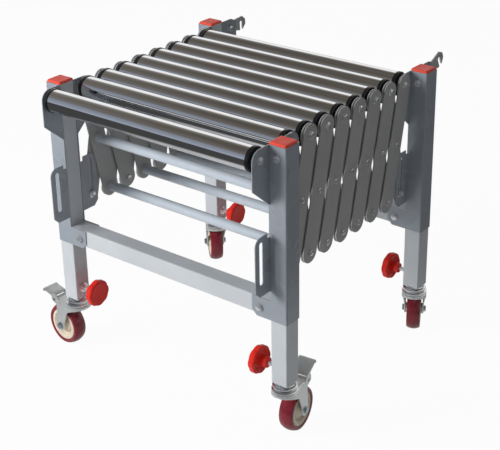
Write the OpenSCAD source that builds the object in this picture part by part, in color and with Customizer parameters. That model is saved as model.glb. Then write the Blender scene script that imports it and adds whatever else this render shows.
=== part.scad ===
// Expanding roller table: two post frames on swivel casters, joined by a row of
// crossed flat bars that carry chromed rollers. Origin on the floor, midway
// between the four posts. +X runs along the rollers, +Y from front to rear.

/* [Frame] */
// Width over the two posts of a frame
frame_w = 640; // [560:1:900]
// Height of the post tops above the floor
table_h = 666; // [636:1:776]
// Length of a folded post
post_len = 379; // [360:1:420]
// Depth of the folded channel along the rollers
channel_d = 42; // [42:1:46]
// Width of the folded channel across the rollers
channel_w = 44; // [44:1:48]
// Sheet thickness of the posts
sheet_t = 2; // [1.5:0.5:3]
// Outer bend radius of the posts
bend_r = 3.5; // [2.5:0.5:5]
// Outer width of the square sleeve tubes and crossbars
tube_w = 40; // [38:1:40]
// Wall of the square tubes
tube_t = 1.5; // [1:0.5:3]
// Outer corner radius of the square tubes
tube_r = 3; // [2:0.5:5]
// Height of the lower end of the sleeves
sleeve_z = 141; // [139:1:151]
// Gap under the crossbar to the lower end of the posts
crossbar_lift = 4; // [2:1:10]

/* [Ears] */
// Distance from a post to the pivots on its ears
ear_reach = 28; // [27:1:34]
// Radius of the rounded corner of a roller ear, round its bolt
ear_r = 23.5; // [20:0.5:24]
// Height of the straight outer edge of a roller ear
ear_edge = 56.5; // [40:0.5:70]
// Height that a roller ear loses on its way in to the post
ear_slope = 45; // [30:1:60]
// Height of a slotted ear
slot_ear_h = 129; // [127:1:140]
// Outer edge of a slotted ear, from the post
slot_ear_reach = 46; // [42:1:52]
// Corner radius of a slotted ear
slot_ear_r = 18; // [10:1:20]
// Chamfer under a slotted ear
slot_ear_chamfer = 12; // [4:1:14]
// Height of the slotted ear above the lower end of the post
slot_ear_lift = 67; // [60:1:75]
// Width of the slot
slot_w = 11; // [9:0.5:12]
// Relief cut at the bend of the slotted ear, out from the post
relief_w = 8; // [4:1:10]
// Depth of the relief cut
relief_h = 10; // [4:1:14]

/* [Gussets] */
// Reach of the lower plates over the crossbar
gusset_reach = 45; // [30:1:60]
// Height of the lower plates
gusset_h = 44; // [40:1:48]
// Chamfer on the lower plates
gusset_chamfer = 12; // [4:1:18]
// Distance from the sleeve to the crossbar bolt
gusset_bolt = 26; // [18:1:32]
// Height of the crossbar bolt above the lower end of the post
gusset_bolt_h = 22; // [16:1:28]

/* [Scissor] */
// Number of crossed bar pairs on each side
stages = 7; // [5:1:9]
// Distance between neighbouring pivots when pushed together
pitch = 58; // [56:1:70]
// Distance between the two end pivots of a bar
arm_len = 264; // [262:1:268]
// Width of the flat bars
arm_w = 46; // [36:1:46]
// Thickness of the flat bars
arm_t = 3; // [2:0.5:3]
// Diameter of the round tubes between the inner bars
cross_d = 22; // [18:1:26]
// Wall of the round tubes
cross_t = 1.5; // [1:0.5:3]

/* [Rollers] */
// Diameter of the roller tubes
roller_d = 50; // [44:0.5:50]
// Wall of the roller tubes
roller_t = 2; // [1.5:0.5:3]
// Distance from a roller end cap to the frame
roller_gap = 8; // [8:0.5:12]
// Diameter of the end caps
cap_d = 53; // [50.5:0.5:54]
// Thickness of the end caps
cap_t = 7; // [4:0.5:10]
// Depth of the end cap plug inside the tube
cap_plug = 12; // [6:1:20]
// Diameter of the bearing hub
hub_d = 20; // [16:0.5:24]
// Radius of the ball race groove in an end cap
cap_groove_r = 15; // [13:0.5:18]
// Depth of the ball race groove
cap_groove_t = 2; // [1:0.5:3]

/* [Fasteners] */
// Diameter of the roller axles and pivot bolts
axle_d = 8; // [6:0.5:10]
// Width across the flats of the large hex heads
hex_af = 13; // [12:0.5:16]
// Thickness of the large hex heads
hex_t = 5.5; // [4:0.5:6]
// Width across the flats of the small hex heads
small_af = 11; // [10:0.5:13]
// Thickness of the small hex heads
small_t = 4.5; // [3:0.5:5]
// Diameter of the washers
washer_d = 17; // [14:0.5:20]
// Distance of the post bolt below the post top
post_bolt_drop = 25; // [22:1:30]

/* [Legs] */
// Outer width of the sliding legs
leg_w = 35; // [32:0.5:36]
// Wall of the sliding legs
leg_t = 1.5; // [1:0.5:3]
// Outer corner radius of the sliding legs
leg_r = 2.5; // [2:0.5:4]
// Distance of the leg top below the post top
leg_drop = 38; // [36:1:60]
// Thickness of the end caps on the sleeves
end_cap_t = 5; // [3:0.5:8]
// Chamfer of the end caps
end_cap_chamfer = 2; // [0.5:0.5:2.5]
// Depth of the end cap plug
end_plug = 10; // [6:1:14]

/* [Knobs] */
// Height of the clamp knobs above the lower end of the sleeves
knob_lift = 27; // [20:1:60]
// Diameter of the knobs
knob_d = 62; // [50:1:66]
// Thickness of the knob rim
knob_t = 16; // [10:1:20]
// Bevel round the edges of the knob rim
knob_bevel = 3; // [1:0.5:4]
// Distance from the sleeve to the middle of the rim
knob_out = 46; // [38:1:55]
// Diameter of the knob's stem
knob_stem_d = 24; // [18:1:30]
// Number of grip hollows round the rim
knob_hollows = 8; // [6:1:12]
// Depth of a grip hollow
knob_hollow_depth = 2; // [1:0.5:4]
// Diameter of a grip hollow
knob_hollow_d = 16; // [8:1:30]
// Thickness of the welded nut
weld_nut_t = 6; // [4:0.5:8]
// Width across the flats of the welded nut
weld_nut_af = 16; // [13:0.5:19]

/* [Casters] */
// Diameter of the wheels
wheel_d = 100; // [90:1:102]
// Width of the tread
tread_w = 32; // [26:1:33]
// Diameter where the tread meets the hub
tread_seat_d = 75; // [66:1:80]
// Depth of the sunk ring in the sides of the hub
hub_sink = 5; // [2:0.5:8]
// Radius of the round tread crown
crown_r = 30; // [24:1:60]
// Distance from the swivel to the axle
trail = 46; // [42:1:48]
// Inside width of the fork
fork_gap = 40; // [38:0.5:42]
// Thickness of the fork sheet
fork_t = 2.5; // [2:0.5:3]
// Height of the fork crown's upper face
crown_z = 120; // [117:1:120]
// Thickness of the fork crown
crown_t = 4; // [3:0.5:5]
// Length of the fork crown behind the swivel
crown_len = 52; // [48:1:54]
// Radius of the hollow in the front edge of the fork
hollow_r = 52; // [48:1:54]
// Diameter of the lower ball race
race_d = 57; // [50:1:58]
// Diameter of the upper ball race
race_top_d = 53; // [46:1:54]
// Height of the lower race
race_h = 9.7; // [8.7:0.1:9.7]
// Height of the upper race
race_top_h = 8; // [6:0.5:8]
// Bevel round the edges of the two races
race_edge = 1.5; // [0.5:0.5:2]
// Diameter of the kingpin
kingpin_d = 12; // [8:0.5:14]
// Turn of the front left caster, from +X to its trailing side
front_left_turn = 175; // [0:5:360]
// Turn of the front right caster
front_right_turn = 97; // [0:5:360]
// Turn of the rear left caster
rear_left_turn = 137; // [0:5:360]
// Turn of the rear right caster
rear_right_turn = 118; // [0:5:360]

/* [Brake pedals] */
// Distance from the swivel to the pedal pivot
pedal_r = 62; // [60:1:64]
// Height of the pedal pivot
pedal_z = 114; // [113:1:116]
// Width of the tread plate
pedal_w = 39; // [30:1:44]
// Length of the pedal from its pivot to the lip
pedal_len = 42; // [32:1:50]
// Diameter of the rolled lip
lip_d = 8; // [6:0.5:9]
// Thickness of the pedal sheet
pedal_t = 3; // [2:0.5:4]
// Height of the plate over the pivot
pedal_rise = 8; // [7:0.5:10]
// Tilt of the pressed pedal
pedal_down = 6; // [4:1:10]
// Tilt of the raised pedal
pedal_up = 30; // [24:1:32]

/* [Link hooks] */
// Thickness of the hooks
hook_t = 3; // [2:0.5:4]
// Reach of a hook from its pivot
hook_reach = 63; // [58:1:68]
// Half height of a hook
hook_half = 15; // [13:0.5:16]
// Width of the catch slot
catch_w = 9.5; // [8.5:0.5:11]
// Distance from the pivot to the middle of the catch slot
catch_out = 46; // [44:1:48]
// Tilt of the left hook
left_hook_tilt = 4; // [-40:1:40]
// Tilt of the right hook
right_hook_tilt = 25; // [-40:1:40]

/* [Hidden] */
$fn = 64;
// Running clearance of a shaft in its bore, on the radius
run_fit = 0.06;
// Gap between plates that slide past each other
plate_gap = 0.2;
// Gap between curved faces that pass each other
pass_gap = 0.3;
// Overrun of a cut past a face
over = 1;

web_x = frame_w / 2;
sleeve_x = web_x - sheet_t;
ear_x = web_x - channel_d;
ear_out_x = ear_x + sheet_t;
inner_out_x = ear_x - plate_gap;
inner_x = inner_out_x - arm_t;
outer_x = ear_out_x + plate_gap;
outer_out_x = outer_x + arm_t;
leg_x = sleeve_x - tube_w / 2;
tube_in_x = sleeve_x - tube_w;

first_y = -stages * pitch / 2;
last_y = -first_y;
post_y = last_y + ear_reach + channel_w / 2;
link_y = post_y + channel_w / 2 + ear_reach;

pivot_z = table_h - ear_r;
post_z = table_h - post_len;
crossbar_z = post_z + crossbar_lift;
post_bolt_z = table_h - post_bolt_drop;
knob_z = sleeve_z + knob_lift;
axle_z = wheel_d / 2;
race_top_z = crown_z + race_h + pass_gap;
leg_z = race_top_z + race_top_h;
leg_top_z = table_h - leg_drop;

lean = asin(pitch / arm_len);
arm_drop = sqrt(arm_len * arm_len - pitch * pitch);
slot_ear_z = post_z + slot_ear_lift;
slot_low_z = pivot_z - arm_drop - slot_w / 2 - over;
slot_high_z = slot_ear_z + slot_ear_h - slot_w;

cap_out_x = ear_x - roller_gap;
cap_in_x = cap_out_x - cap_t;
hub_out_x = inner_x - pass_gap;
roller_count = stages + 2;

corners = ["front_left", "front_right", "rear_left", "rear_right"];
turns = [front_left_turn, front_right_turn, rear_left_turn, rear_right_turn];
tilts = [pedal_down, pedal_up];
hook_tilts = [left_hook_tilt, right_hook_tilt];
sides = [-1, 1];
corner_parts = ["post", "leg", "knob", "fork", "wheel", "tread"];
frame_parts = ["leg_sleeves", "crossbar", "end_caps", "fasteners"];

// Places
function corner_side(i) = sides[i % 2];
function corner_end(i) = sides[floor(i / 2)];

module at_corner(i) {
    translate([corner_side(i) * leg_x, corner_end(i) * post_y, 0]) children();
}

// A part drawn for the +X side, mirrored for the other one
module to_side(s) {
    mirror([s < 0 ? 1 : 0, 0, 0]) children();
}

// A part drawn for the +Y face, mirrored for the other one
module to_face(s) {
    mirror([0, s < 0 ? 1 : 0, 0]) children();
}

module both_sides() {
    for (side = sides) to_side(side) children();
}

// Children stand along +X, drawn from a shape in the YZ plane
module along_x(from, to) {
    translate([from, 0, 0]) rotate([90, 0, 90]) linear_extrude(to - from) children();
}

module rounded_square(w, d, r) {
    square([w - 2 * r, d], center = true);
    square([w, d - 2 * r], center = true);
    for (x = sides) for (y = sides) translate([x * (w / 2 - r), y * (d / 2 - r)]) circle(r);
}

module square_ring(w, t, r) {
    difference() {
        rounded_square(w, w, r);
        rounded_square(w - 2 * t, w - 2 * t, r - t / 2);
    }
}

module rod_x(x0, x1, d, y, z) {
    translate([x0, y, z]) rotate([0, 90, 0]) cylinder(d = d, h = x1 - x0);
}

module ring_x(x0, x1, d, hole, y, z) {
    translate([x0, y, z]) rotate([0, 90, 0]) linear_extrude(x1 - x0) difference() {
        circle(d = d);
        circle(d = hole);
    }
}

module hex_x(x0, x1, af, y, z) {
    translate([x0, y, z]) rotate([0, 90, 0]) rotate(30) cylinder(d = af / cos(30), h = x1 - x0, $fn = 6);
}

// Folded posts
module roller_ear_outline() {
    difference() {
        union() {
            translate([ear_reach, pivot_z]) circle(ear_r);
            translate([-sheet_t, pivot_z]) square([sheet_t + ear_reach, ear_r]);
            polygon([
                [-sheet_t, pivot_z],
                [ear_reach + ear_r, pivot_z],
                [ear_reach + ear_r, pivot_z - ear_edge],
                [0, pivot_z - ear_edge - ear_slope],
                [-sheet_t, pivot_z - ear_edge - ear_slope]
            ]);
        }
        translate([ear_reach, pivot_z]) circle(d = axle_d + 2 * run_fit);
    }
}

module slotted_ear_outline() {
    top = slot_ear_z + slot_ear_h;
    difference() {
        union() {
            polygon([
                [-sheet_t, slot_ear_z],
                [slot_ear_reach - slot_ear_chamfer, slot_ear_z],
                [slot_ear_reach, slot_ear_z + slot_ear_chamfer],
                [slot_ear_reach, top - slot_ear_r],
                [slot_ear_reach - slot_ear_r, top],
                [-sheet_t, top]
            ]);
            translate([slot_ear_reach - slot_ear_r, top - slot_ear_r]) circle(slot_ear_r);
        }
        translate([ear_reach, slot_low_z + slot_w / 2]) circle(d = slot_w);
        translate([ear_reach, slot_high_z - slot_w / 2]) circle(d = slot_w);
        translate([ear_reach - slot_w / 2, slot_low_z + slot_w / 2])
            square([slot_w, slot_high_z - slot_low_z - slot_w]);
        translate([0, top - relief_h]) square([relief_w, relief_h + over]);
    }
}

module flange_outline() {
    difference() {
        union() {
            translate([ear_x, post_z]) square([channel_d - bend_r, post_len]);
            polygon([
                [ear_x, post_z],
                [ear_x - gusset_reach + gusset_chamfer, post_z],
                [ear_x - gusset_reach, post_z + gusset_chamfer],
                [ear_x - gusset_reach, post_z + gusset_h],
                [ear_x, post_z + gusset_h]
            ]);
        }
        translate([ear_x - gusset_bolt, post_z + gusset_bolt_h]) circle(d = axle_d);
        translate([leg_x, post_bolt_z]) circle(d = axle_d);
    }
}

module post(i) {
    color([0.66, 0.70, 0.74]) translate([0, corner_end(i) * post_y, 0]) to_side(corner_side(i)) {
        // Web with its two rounded bends
        translate([0, 0, post_z]) linear_extrude(post_len) intersection() {
            difference() {
                translate([ear_x + channel_d / 2, 0]) rounded_square(channel_d, channel_w, bend_r);
                translate([ear_x + channel_d / 2 - sheet_t, 0])
                    rounded_square(channel_d, channel_w - 2 * sheet_t, bend_r - sheet_t);
            }
            translate([web_x - bend_r - over, -channel_w / 2]) square([bend_r + over, channel_w]);
        }
        for (face = sides) to_face(face) {
            translate([0, channel_w / 2, 0]) rotate([90, 0, 0]) linear_extrude(sheet_t) flange_outline();
            translate([0, channel_w / 2, 0]) along_x(ear_x, ear_out_x) {
                roller_ear_outline();
                slotted_ear_outline();
            }
        }
    }
}

// Square tubes
module leg_sleeves(end) {
    color([0.80, 0.81, 0.82]) both_sides() difference() {
        translate([leg_x, end * post_y, sleeve_z]) linear_extrude(table_h - sleeve_z)
            square_ring(tube_w, tube_t, tube_r);
        rod_x(tube_in_x - over, tube_in_x + tube_t + over, axle_d + 2 * run_fit, end * post_y, knob_z);
        translate([leg_x, end * post_y + tube_w, post_bolt_z]) rotate([90, 0, 0])
            cylinder(d = axle_d, h = 2 * tube_w);
    }
}

module crossbar(end) {
    color([0.78, 0.81, 0.84]) difference() {
        translate([0, end * post_y, crossbar_z + tube_w / 2]) along_x(-tube_in_x, tube_in_x)
            square_ring(tube_w, tube_t, tube_r);
        for (side = sides)
            translate([side * (ear_x - gusset_bolt), end * post_y + tube_w, post_z + gusset_bolt_h])
                rotate([90, 0, 0]) cylinder(d = axle_d, h = 2 * tube_w);
    }
}

module end_caps(end) {
    plug_w = tube_w - 2 * tube_t - plate_gap;
    color([0.86, 0.24, 0.18]) both_sides() translate([leg_x, end * post_y, table_h]) {
        translate([0, 0, -end_plug]) linear_extrude(end_plug) rounded_square(plug_w, plug_w, tube_r - tube_t / 2);
        linear_extrude(end_cap_t - end_cap_chamfer) rounded_square(tube_w, tube_w, tube_r);
        translate([0, 0, end_cap_t - end_cap_chamfer])
            linear_extrude(end_cap_chamfer, scale = 1 - 2 * end_cap_chamfer / tube_w)
                square(tube_w - tube_r, center = true);
    }
}

// Bolt through both plates of a post, along Y, with its head in front
module post_bolt(x, z) {
    for (face = sides) translate([x, face * channel_w / 2, z]) rotate([-face * 90, 0, 0]) {
        cylinder(d = hex_af / cos(30), h = hex_t, $fn = 6);
    }
    translate([x, channel_w / 2, z]) rotate([90, 0, 0]) cylinder(d = axle_d, h = channel_w);
}

// Roller axle held by the ears of a frame, with spacers inside and nuts outside
module frame_axle(y, spacer_in, nut_in) {
    rod_x(-nut_in - hex_t, nut_in + hex_t, axle_d, y, pivot_z);
    both_sides() {
        ring_x(spacer_in, ear_x, washer_d, axle_d, y, pivot_z);
        difference() {
            hex_x(nut_in, nut_in + hex_t, hex_af, y, pivot_z);
            rod_x(nut_in - over, nut_in + hex_t + over, axle_d, y, pivot_z);
        }
    }
}

module frame_bolts(end) {
    both_sides() {
        translate([0, end * post_y, 0]) {
            post_bolt(leg_x, post_bolt_z);
            post_bolt(ear_x - gusset_bolt, post_z + gusset_bolt_h);
        }
        difference() {
            hex_x(tube_in_x - weld_nut_t, tube_in_x, weld_nut_af, end * post_y, knob_z);
            rod_x(tube_in_x - weld_nut_t - over, tube_in_x + over, axle_d + 2 * run_fit, end * post_y, knob_z);
        }
    }
}

module front_fasteners() {
    color([0.72, 0.73, 0.75]) {
        frame_bolts(-1);
        frame_axle(-link_y, hub_out_x + pass_gap, ear_out_x);
        rod_x(-ear_out_x - hex_t, ear_out_x + hex_t, axle_d, first_y, pivot_z);
        both_sides() difference() {
            hex_x(ear_out_x, ear_out_x + hex_t, hex_af, first_y, pivot_z);
            rod_x(ear_out_x - over, ear_out_x + hex_t + over, axle_d, first_y, pivot_z);
        }
    }
}

module rear_fasteners() {
    color([0.72, 0.73, 0.75]) {
        frame_bolts(1);
        frame_axle(last_y, hub_out_x + pass_gap, outer_out_x + plate_gap);
        both_sides() {
            rod_x(ear_x - hex_t, outer_x + hook_t + plate_gap + hex_t, axle_d, link_y, pivot_z);
            difference() {
                hex_x(ear_x - hex_t, ear_x, hex_af, link_y, pivot_z);
                rod_x(ear_x - hex_t - over, ear_x + over, axle_d, link_y, pivot_z);
            }
            difference() {
                hex_x(outer_x + hook_t + plate_gap, outer_x + hook_t + plate_gap + hex_t, hex_af, link_y, pivot_z);
                rod_x(outer_x, outer_x + 2 * hook_t + hex_t, axle_d, link_y, pivot_z);
            }
        }
    }
}

// Rollers
module roller(k) {
    y = k == 1 ? -link_y : first_y + (k - 2) * pitch;
    color([0.80, 0.82, 0.85]) ring_x(-cap_in_x, cap_in_x, roller_d, roller_d - 2 * roller_t, y, pivot_z);
    color([0.08, 0.08, 0.09]) both_sides() translate([0, y, pivot_z]) rotate([0, 90, 0]) difference() {
        union() {
            translate([0, 0, cap_in_x]) cylinder(d = cap_d, h = cap_t);
            translate([0, 0, cap_in_x - cap_plug]) cylinder(d = roller_d - 2 * roller_t, h = cap_plug);
            translate([0, 0, cap_out_x]) cylinder(d = hub_d, h = hub_out_x - cap_out_x);
        }
        translate([0, 0, cap_in_x - cap_plug - over])
            cylinder(d = axle_d + 2 * run_fit, h = cap_plug + cap_t + hub_out_x - cap_out_x + 2 * over);
        translate([0, 0, cap_out_x - cap_groove_t]) difference() {
            cylinder(r = cap_groove_r + cap_groove_t, h = cap_groove_t + over);
            cylinder(r = cap_groove_r - cap_groove_t, h = cap_groove_t + over);
        }
    }
}

// Flat bar from its upper pivot at the origin, leaning toward +Y at its foot
module bar(x0, x1, toward) {
    rotate([toward * lean, 0, 0]) along_x(x0, x1) difference() {
        union() {
            circle(d = arm_w);
            translate([0, -arm_len]) circle(d = arm_w);
            translate([-arm_w / 2, -arm_len]) square([arm_w, arm_len]);
        }
        for (share = [0, 0.5, 1]) translate([0, -share * arm_len]) circle(d = axle_d + 2 * run_fit);
    }
}

// Inner bars, from the upper pivot k to the lower pivot k + 1
module inner_arms(k) {
    top_y = first_y + (k - 1) * pitch;
    low_z = pivot_z - arm_drop;
    mid_z = pivot_z - arm_drop / 2;
    last = k == stages;
    tube = k % 2 == 1 && !last;
    color([0.42, 0.42, 0.43]) both_sides() translate([0, top_y, pivot_z]) bar(inner_x, inner_out_x, 1);
    color([0.78, 0.80, 0.83]) {
        if (tube) cross_tube(top_y + pitch, low_z);
        if (k == 1) cross_tube(top_y + pitch / 2, mid_z);
        both_sides() low_bolt(top_y + pitch, low_z, tube, last);
    }
}

module cross_tube(y, z) {
    ring_x(-inner_x, inner_x, cross_d, cross_d - 2 * cross_t, y, z);
}

// Bolt held by an inner bar's foot; the outer bar or the slot turns on it
module low_bolt(y, z, tube, last) {
    head_x = last ? ear_out_x + plate_gap + sheet_t : outer_out_x + plate_gap;
    rod_x(tube ? inner_x - hex_t : inner_out_x, head_x, axle_d, y, z);
    if (last) ring_x(ear_out_x + plate_gap, head_x, washer_d, axle_d, y, z);
    if (!tube) rod_x(inner_x - small_t, inner_out_x, axle_d, y, z);
    if (!tube) difference() {
        hex_x(inner_x - small_t, inner_x, small_af, y, z);
        rod_x(inner_x - small_t - over, inner_x + over, axle_d, y, z);
    }
    hex_x(head_x, head_x + small_t, small_af, y, z);
    if (!last) ring_x(inner_out_x, ear_out_x, washer_d, axle_d, y, z);
}

// Outer bars, from the upper pivot k + 1 to the lower pivot k
module outer_arms(k) {
    top_y = first_y + k * pitch;
    low_z = pivot_z - arm_drop;
    mid_z = pivot_z - arm_drop / 2;
    color([0.42, 0.42, 0.43]) both_sides() translate([0, top_y, pivot_z]) bar(outer_x, outer_out_x, -1);
    color([0.72, 0.73, 0.75]) {
        if (k < stages) top_axle(top_y);
        both_sides() {
            middle_bolt(top_y - pitch / 2, mid_z, k == 1);
            if (k == 1) slot_bolt(top_y - pitch, low_z);
        }
    }
}

// Roller axle held by the tops of two outer bars
module top_axle(y) {
    rod_x(-outer_out_x - hex_t, outer_out_x + hex_t, axle_d, y, pivot_z);
    both_sides() {
        ring_x(ear_x, outer_x, washer_d, axle_d, y, pivot_z);
        ring_x(outer_out_x, outer_out_x + sheet_t, washer_d, axle_d, y, pivot_z);
        difference() {
            hex_x(outer_out_x + sheet_t, outer_out_x + hex_t, hex_af, y, pivot_z);
            rod_x(outer_out_x, outer_out_x + hex_t + over, axle_d, y, pivot_z);
        }
    }
}

module middle_bolt(y, z, tube) {
    nut_x = inner_x - plate_gap;
    rod_x(nut_x - small_t, outer_out_x, axle_d, y, z);
    hex_x(outer_out_x, outer_out_x + small_t, small_af, y, z);
    ring_x(ear_x, outer_x, washer_d, axle_d, y, z);
    if (!tube) difference() {
        hex_x(nut_x - small_t, nut_x, small_af, y, z);
        rod_x(nut_x - small_t - over, nut_x + over, axle_d, y, z);
    }
}

module slot_bolt(y, z) {
    head_x = ear_x - plate_gap;
    rod_x(head_x, outer_out_x, axle_d, y, z);
    hex_x(outer_out_x, outer_out_x + small_t, small_af, y, z);
    ring_x(head_x - sheet_t, head_x, washer_d, axle_d, y, z);
    rod_x(head_x - sheet_t, head_x, axle_d, y, z);
    hex_x(head_x - sheet_t - small_t, head_x - sheet_t, small_af, y, z);
}

// Sliding legs with the upper race and the kingpin of the caster
module leg(i) {
    head_h = crown_t;
    at_corner(i) {
        color([0.70, 0.71, 0.73]) translate([0, 0, leg_z]) linear_extrude(leg_top_z - leg_z)
            square_ring(leg_w, leg_t, leg_r);
        color([0.78, 0.80, 0.80]) {
            translate([0, 0, race_top_z]) rotate_extrude() polygon([
                [0, 0],
                [race_top_d / 2 - race_edge, 0],
                [race_top_d / 2, race_edge],
                [race_top_d / 2, race_top_h - 2 * race_edge],
                [race_top_d / 2 - 2 * race_edge, race_top_h],
                [0, race_top_h]
            ]);
            translate([0, 0, crown_z - crown_t - pass_gap]) cylinder(d = kingpin_d, h = race_top_z - crown_z + crown_t + pass_gap);
            translate([0, 0, crown_z - crown_t - pass_gap - head_h]) cylinder(d = 2 * kingpin_d, h = head_h);
        }
    }
}

// Clamp knob with its stem and stud, along X on the inner side of a sleeve
module knob(i) {
    rim_x = tube_in_x - knob_out;
    stem_end = tube_in_x - weld_nut_t - hex_t - rim_x;
    rim_r = knob_d / 2;
    color([0.84, 0.18, 0.14]) translate([0, corner_end(i) * post_y, knob_z]) to_side(corner_side(i))
        translate([rim_x, 0, 0]) rotate([0, 90, 0]) difference() {
            rotate_extrude() polygon([
                [0, -knob_t / 2],
                [rim_r - knob_bevel, -knob_t / 2],
                [rim_r, knob_bevel - knob_t / 2],
                [rim_r, knob_t / 2 - knob_bevel],
                [rim_r - knob_bevel, knob_t / 2],
                [0.7 * knob_stem_d, knob_t / 2],
                [knob_stem_d / 2, knob_t],
                [knob_stem_d / 2, stem_end],
                [0, stem_end]
            ]);
            for (n = [1 : knob_hollows]) rotate(n * 360 / knob_hollows)
                translate([rim_r + knob_hollow_d / 2 - knob_hollow_depth, 0, -knob_t / 2 - over])
                    cylinder(d = knob_hollow_d, h = knob_t + 2 * over);
        }
    color([0.72, 0.73, 0.75]) to_side(corner_side(i))
        rod_x(tube_in_x - weld_nut_t - hex_t, leg_x - leg_w / 2 - pass_gap, axle_d, corner_end(i) * post_y, knob_z);
}

// Casters, drawn with the axle on the +X side of the swivel
module turned(i) {
    at_corner(i) rotate(turns[i]) children();
}

module fork_side(braked) {
    boss = axle_d + fork_t * 2;
    difference() {
        union() {
            difference() {
                polygon([
                    [-race_d / 2, crown_z],
                    [-race_d / 2, crown_z - 3 * crown_t],
                    [trail - boss, axle_z],
                    [trail + boss, axle_z],
                    [crown_len + crown_t / 2, crown_z - 2 * crown_t],
                    [crown_len, crown_z]
                ]);
                translate([-0.4 * trail, axle_z + 0.2 * trail]) circle(hollow_r);
            }
            translate([trail, axle_z]) circle(boss);
            if (braked) polygon([
                [pedal_r - 4 * crown_t, crown_z],
                [pedal_r - 2 * crown_t, crown_z + 2 * crown_t],
                [pedal_r + 1.5 * crown_t, crown_z + 2.5 * crown_t],
                [pedal_r + 2.5 * crown_t, pedal_z],
                [pedal_r, pedal_z - 2 * crown_t],
                [pedal_r - 4 * crown_t, pedal_z - 3 * crown_t]
            ]);
        }
        translate([trail, axle_z]) circle(d = axle_d);
        if (braked) translate([pedal_r, pedal_z]) circle(d = axle_d / 2);
    }
}

module fork(i) {
    braked = i < 2;
    outer = fork_gap / 2 + fork_t;
    pin_r = kingpin_d / 2 + run_fit;
    turned(i) {
        color([0.79, 0.80, 0.80]) {
            for (face = sides) translate([0, face * (outer - fork_t / 2) + fork_t / 2, 0]) rotate([90, 0, 0])
                linear_extrude(fork_t) fork_side(braked);
            difference() {
                translate([0, 0, crown_z - crown_t]) linear_extrude(crown_t) {
                    circle(d = race_d);
                    translate([0, -outer]) square([crown_len, 2 * outer]);
                }
                translate([0, 0, crown_z - crown_t - over]) cylinder(r = pin_r, h = crown_t + 2 * over);
            }
            translate([0, 0, crown_z]) rotate_extrude() polygon([
                [pin_r, 0],
                [race_d / 2 - race_edge, 0],
                [race_d / 2, race_edge],
                [race_d / 2, race_h - 2 * race_edge],
                [race_d / 2 - 2 * race_edge, race_h],
                [pin_r, race_h]
            ]);
        }
        color([0.62, 0.63, 0.64]) {
            translate([trail, outer, axle_z]) rotate([90, 0, 0]) cylinder(d = axle_d, h = 2 * outer);
            for (face = sides) translate([trail, face * outer, axle_z]) rotate([-face * 90, 0, 0])
                cylinder(d = hex_af / cos(30), h = hex_t, $fn = 6);
            if (braked) translate([pedal_r, outer, pedal_z]) rotate([90, 0, 0])
                cylinder(d = axle_d / 2, h = 2 * outer);
        }
    }
}

module at_axle(i) {
    turned(i) translate([trail, 0, axle_z]) rotate([90, 0, 0]) children();
}

module wheel(i) {
    seat_r = tread_seat_d / 2;
    boss_r = tread_seat_d / 6;
    bore_r = axle_d / 2 + run_fit;
    boss_h = fork_gap / 2 - pass_gap;
    web_h = tread_w / 2 - hub_sink;
    flange_h = tread_w / 2 - tread_w / 16;
    color([0.88, 0.84, 0.76]) at_axle(i) rotate_extrude() polygon([
        [bore_r, -boss_h],
        [boss_r, -boss_h],
        [1.25 * boss_r, -web_h],
        [0.7 * seat_r, -web_h],
        [0.75 * seat_r, -flange_h],
        [seat_r, -flange_h],
        [seat_r, flange_h],
        [0.75 * seat_r, flange_h],
        [0.7 * seat_r, web_h],
        [1.25 * boss_r, web_h],
        [boss_r, boss_h],
        [bore_r, boss_h]
    ]);
}

module tread(i) {
    seat_r = tread_seat_d / 2;
    color([0.42, 0.12, 0.13]) at_axle(i) rotate_extrude() intersection() {
        translate([seat_r, -tread_w / 2]) square([seat_r, tread_w]);
        translate([wheel_d / 2 - crown_r, 0]) circle(crown_r);
    }
}

// Brake pedals with their pivot barrel, crowned plate, rolled lip and shoe
module pedal(i) {
    barrel_r = axle_d * 0.65;
    barrel_w = fork_gap - 2 * pass_gap;
    shoe_turn = atan2(axle_z - pedal_z, trail - pedal_r) - tilts[0];
    shoe_len = norm([axle_z - pedal_z, trail - pedal_r]) - wheel_d / 2 - pass_gap;
    color([0.79, 0.80, 0.80]) turned(i) translate([pedal_r, 0, pedal_z]) rotate([90, -tilts[i], 0]) difference() {
        union() {
            cylinder(r = barrel_r, h = barrel_w, center = true);
            translate([0, 0, -barrel_w / 2]) linear_extrude(barrel_w) polygon([
                [-barrel_r, 0],
                [-barrel_r / 2, pedal_rise + pedal_t / 2],
                [barrel_r, pedal_rise + pedal_t / 2],
                [barrel_r, 0]
            ]);
            translate([barrel_r, pedal_rise - pedal_t / 2, -barrel_w / 2])
                cube([barrel_r, pedal_t, barrel_w]);
            translate([3 * barrel_r, pedal_rise - pedal_t / 2, -pedal_w / 2])
                cube([pedal_len - 3 * barrel_r, pedal_t, pedal_w]);
            translate([2 * barrel_r, pedal_rise - pedal_t / 2, -barrel_w / 2])
                cube([barrel_r, pedal_t, barrel_w]);
            translate([pedal_len, pedal_rise, 0]) cylinder(d = lip_d, h = pedal_w, center = true);
            rotate(shoe_turn) translate([0, -pedal_t / 2, -barrel_w / 4]) cube([shoe_len, pedal_t, barrel_w / 2]);
        }
        cylinder(d = axle_d / 2 + 2 * run_fit, h = fork_gap, center = true);
    }
}

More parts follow.
